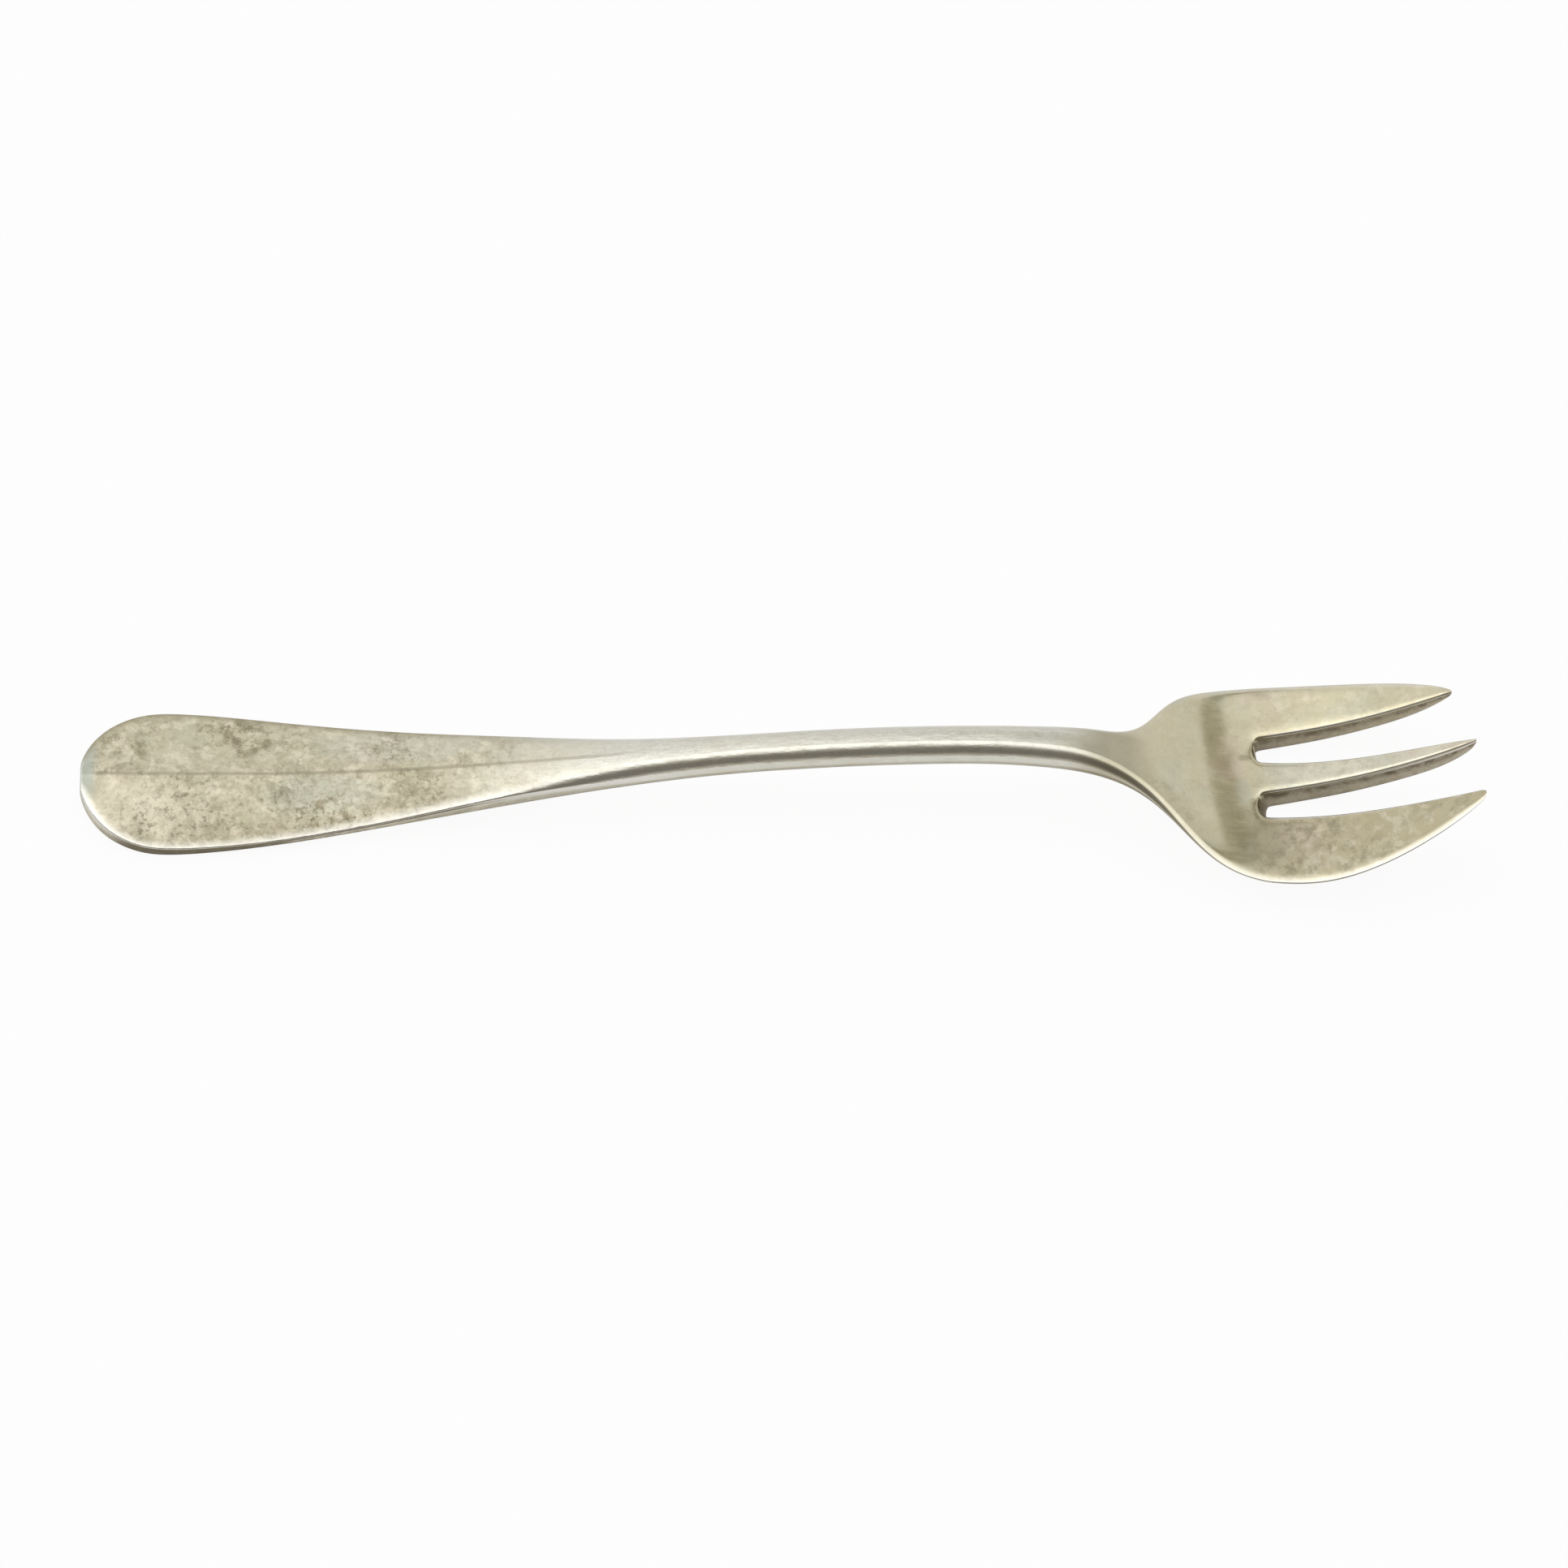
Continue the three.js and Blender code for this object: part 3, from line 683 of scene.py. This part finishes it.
# The slots' walls, tarnished and given painted shade, which is darkest at their tops.
SLOT_WALL = (0.55, 0.7)
SLOT_WALL_TOP = (0.9, 0.72)
SLOT_LIP = (0.05, 0.3)
SLOT_LIP_END = (0.66, 0.5)
SLOT_LIP_RUN = (49, 51)
# Painted shade on the walls at the slots' roots.
SLOT_ROOT = (0.02, 0.25)
SLOT_ROOT_RUN = (51, 49.2)


def head_film(at, colour, rough, rubbed):
    """Buff tarnish, thin on the middle tine, with stains and a brown neck; tarnish and painted shade in and
    by the slots, and painted shade under the cutting edge.
    """
    x, y = at.x, at.y
    noise = tarnish(at)
    head = x.step(*HEAD)
    tines = x.step(*TINES)
    kept = abs(y - MIDDLE_TINE_AXIS).step(*MIDDLE_TINE) * x.step(*MIDDLE_TINE_RUN)
    colour = (head * (0.75 + 0.7 * noise.wander) * (1 - 0.6 * kept)).blend(colour, BUFF)
    colour = (noise.tint.step(*HEAD_GREEN_TINGE) * 0.35 * head).blend(colour, GREEN)
    colour = (noise.tint.step(*ROSE_TINGE) * 0.45 * head).blend(colour, ROSE)
    dulled = y.step(*CUTTING_SIDE) * x.step(*CUTTING_RUN) + 0.12 * y.step(*PLAIN_SIDE) * x.step(*PLAIN_RUN)
    colour = (dulled * (0.22 + 0.5 * noise.wander + 0.2 * x.step(*CUTTING_POINT))).blend(colour, DULL)
    colour = (noise.cream.step(*HEAD_CREAM_SPOTS) * (0.2 + 0.2 * tines) * head).blend(colour, CREAM)

    slanted = y + SHOULDER_SLANT * (x - SHOULDER_MIDDLE)
    shoulder = slanted.step(*SHOULDER) * x.step(*SHOULDER_START) * x.step(*SHOULDER_END)
    throat = x.step(*THROAT_START) * x.step(*THROAT_END) * (1 - 0.7 * y.step(*THROAT_FAR_EDGE))
    throat = throat * (0.7 + 0.6 * noise.edge)
    soiled = throat * 0.62 + shoulder * (noise.edge - 0.15) * 0.7 * (1 - throat)
    blush = stain(at, CUTTING_BLUSH, noise.edge) + stain(at, PLAIN_BLUSH, noise.edge)
    colour = soiled.blend(colour, OLIVE)
    colour = (blush * 0.5).blend(colour, ROSE)
    colour = (stain(at, GREEN_STAIN, noise.edge) * 0.45).blend(colour, GREEN)
    colour = (stain(at, LOW_CORNER, noise.edge) * 0.45).blend(colour, OLIVE)
    mottled = 0.16 + 0.2 * tines + 0.55 * dulled + 0.35 * shoulder
    colour = ((0.15 + 0.85 * noise.patch) * noise.mottle * mottled * head).blend(colour, OLIVE)
    colour = (at.speck.step(*HEAD_PITS) * (0.2 + noise.patch) * 0.15 * head).blend(colour, BROWN)
    colour = ((at.grain - LEAST_GRAIN) * 0.35 * head).blend(colour, OLIVE)

    # Ragged spots of painted shade where the slots begin.
    ragged = at.cloud(per_mm=1.6, detail=3, seed=6.0, roughness=0.6)
    root_shade = stain(at, PLAIN_ROOT_SHADE, ragged) + stain(at, CUTTING_ROOT_SHADE, ragged)
    colour = (root_shade * 0.6).blend(colour, OLIVE)
    neck = x.step(*NECK_START) * x.step(*NECK_END)
    colour = (at.foot.step(*NECK_FOOT) * neck * 0.75).blend(colour, NECK_BROWN)
    # Painted shade on the foot under the cutting edge, which also loses its rubbed brightness.
    shade_under_edge = at.foot.step(*CUTTING_FOOT) * y.step(*CUTTING_FOOT_SIDE) * tines
    colour = (shade_under_edge * 0.85).blend(colour, DARK_PAINTED_SHADE)

    # The root mask carries painted shade on the walls where the slots begin.
    root = at.wall.step(*SLOT_ROOT) * x.step(*SLOT_ROOT_RUN)
    # The slots' walls are browned, partly as tarnish and partly as painted shade, and their tops take a
    # darker painted shade.
    inside = at.wall.step(*SLOT_WALL)
    shaded = inside * at.wall.step(*SLOT_WALL_TOP)
    lip = at.wall.step(*SLOT_LIP) * at.wall.step(*SLOT_LIP_END) * x.step(*SLOT_LIP_RUN)
    colour = (root * 0.6).blend(colour, OLIVE)
    colour = (inside * (0.85 + 0.4 * (noise.mottle - NOISE_MIDDLE))).blend(colour, SLOT_TARNISH_AND_SHADE)
    colour = (shaded * (0.6 + 0.5 * (noise.mottle - NOISE_MIDDLE))).blend(colour, DARK_PAINTED_SHADE)
    rubbed = rubbed * (1 - inside) * (1 - 0.5 * neck) * (1 - shade_under_edge) + lip
    rough = rough - 0.11 * head + 0.3 * inside
    return colour, rough, rubbed


head_plate = plate_material("head_plate", head_film)
for name in ("neck", "head_plate", "plain_tine", "middle_tine", "cutting_tine"):
    set_in_frame(name, head_plate)


# The table
# A plain sheet of white paper under the fork, wide enough to fill every view. It is seen as white, is
# mirrored a little darker, and keeps a share of the fork's soft shadow.
TABLE_REACH = 6
TABLE_SIDES = 96
PAPER = (0.95, 0.95, 0.95, 1)
WHITE = (1, 1, 1, 1)
WHITENESS = 0.94
MIRRORED_WHITENESS = 0.1
sheet = bmesh.new()
bmesh.ops.create_circle(sheet, cap_ends=True, radius=TABLE_REACH, segments=TABLE_SIDES)
table_mesh = bpy.data.meshes.new("table")
sheet.to_mesh(table_mesh)
sheet.free()
table = bpy.data.objects.new("table", table_mesh)
bpy.context.scene.collection.objects.link(table)
paper = bpy.data.materials.new("white_paper")
paper.use_nodes = True
for node in list(paper.node_tree.nodes):
    if node.type != "OUTPUT_MATERIAL":
        paper.node_tree.nodes.remove(node)
ray = paper.node_tree.nodes.new("ShaderNodeLightPath")
seen = Reading(ray.outputs["Is Camera Ray"]) * WHITENESS
mirrored = Reading(ray.outputs["Is Glossy Ray"]) + Reading(ray.outputs["Is Transmission Ray"])
matt = seen.node("BsdfDiffuse", {}, {"Color": PAPER})
white = seen.node("Emission", {}, {"Color": WHITE, "Strength": 1})
share = seen + mirrored * MIRRORED_WHITENESS
surface = seen.node("MixShader", {}, {0: share, 1: matt, 2: white})
paper.node_tree.links.new(surface.socket, paper.node_tree.nodes["Material Output"].inputs["Surface"])
table_mesh.materials.append(paper)


# The room
# The fork lies under a bright ceiling, with a lit wall behind it and the dim side of the room in front.
# A leaning post by the far wall leaves a soft dark bar across the head. A level is the brightness at a turn
# from the horizon behind the fork, 0, over the ceiling, 0.5, to the horizon in front of it, 1.
LEVELS = [
    (0.0, 0.72),
    (0.2, 0.8),
    (0.26, 0.79),
    (0.29, 0.75),
    (0.345, 1.15),
    (0.385, 1.36),
    (0.525, 1.36),
    (0.56, 0.6),
    (0.59, 0.4),
    (0.65, 0.22),
    (0.72, 0.195),
    (0.86, 0.195),
    (0.92, 0.36),
    (1.0, 0.55),
]
POST_DARKNESS = (0.4, 0.42, 0.5)
POST_FOOT = (0.256, 0.268)
POST_TOP = (0.35, 0.31)
POST_HEAD_SIDE = (0.6, 0.5)
POST_HANDLE_SIDE = (0.12, 0.35)
POST_LEAN = 16
POST_MIDDLE = 0.2925
HANDLE_END_GLOW = 0.18
HANDLE_END = (0.05, -0.3)
ROOM_WARMTH = (0, 0.06, 0.16)
WARM_SIDE = (0.53, 0.6)
world = bpy.data.worlds.new("room")
bpy.context.scene.world = world
world.use_nodes = True
backdrop = world.node_tree.nodes["Background"]
towards = Reading(world.node_tree.nodes.new("ShaderNodeTexCoord").outputs["Generated"])
along = towards.node("SeparateXYZ", {}, {0: towards}, 0)
across = towards.node("SeparateXYZ", {}, {0: towards}, 1)
up = towards.node("SeparateXYZ", {}, {0: towards}, 2)
turn = up.sum("ARCTAN2", up, across) / math.pi
sky = turn.node("ValToRGB", {"stops": LEVELS}, {0: turn})
tone = sky * (1 + HANDLE_END_GLOW * along.step(*HANDLE_END))
leaning = along - POST_LEAN * (turn - POST_MIDDLE)
post = turn.step(*POST_FOOT) * turn.step(*POST_TOP)
post = post * leaning.step(*POST_HANDLE_SIDE) * along.step(*POST_HEAD_SIDE)
warm = turn.step(*WARM_SIDE)
seen_by_camera = Reading(world.node_tree.nodes.new("ShaderNodeLightPath").outputs["Is Camera Ray"])
parts = []
for post_share, warm_share in zip(POST_DARKNESS, ROOM_WARMTH):
    part = tone * (1 - post_share * post) * (1 - warm_share * warm)
    parts.append(seen_by_camera + (1 - seen_by_camera) * part)
shade = tone.node("CombineColor", {}, dict(enumerate(parts)))
world.node_tree.links.new(shade.socket, backdrop.inputs["Color"])


# The camera
# It looks down on the fork from the cutting side with a long lens, turned a little towards the handle's end
# and rolled, so that the fork lies nearly level in the picture.
AZIMUTH = math.radians(-7)
ELEVATION = math.radians(54)
ROLL = math.radians(5.8328)
DISTANCE = 0.68
AIM = Vector((0.5067 * MM, FORK_AXIS, 1.0612 * MM))
FOCAL_LENGTH = 154.04
SENSOR_WIDTH = 36
lens = bpy.data.cameras.new("camera")
lens.lens = FOCAL_LENGTH
lens.sensor_width = SENSOR_WIDTH
camera = bpy.data.objects.new("camera", lens)
bpy.context.scene.collection.objects.link(camera)
level = math.cos(ELEVATION)
away = Vector((math.sin(AZIMUTH) * level, -math.cos(AZIMUTH) * level, math.sin(ELEVATION)))
camera.location = AIM + away * DISTANCE
camera.rotation_mode = "QUATERNION"
camera.rotation_quaternion = (-away).to_track_quat("-Z", "Y") @ Quaternion((0, 0, 1), ROLL)
bpy.context.scene.camera = camera
bpy.context.scene.view_settings.view_transform = "Standard"

bpy.context.view_layer.update()
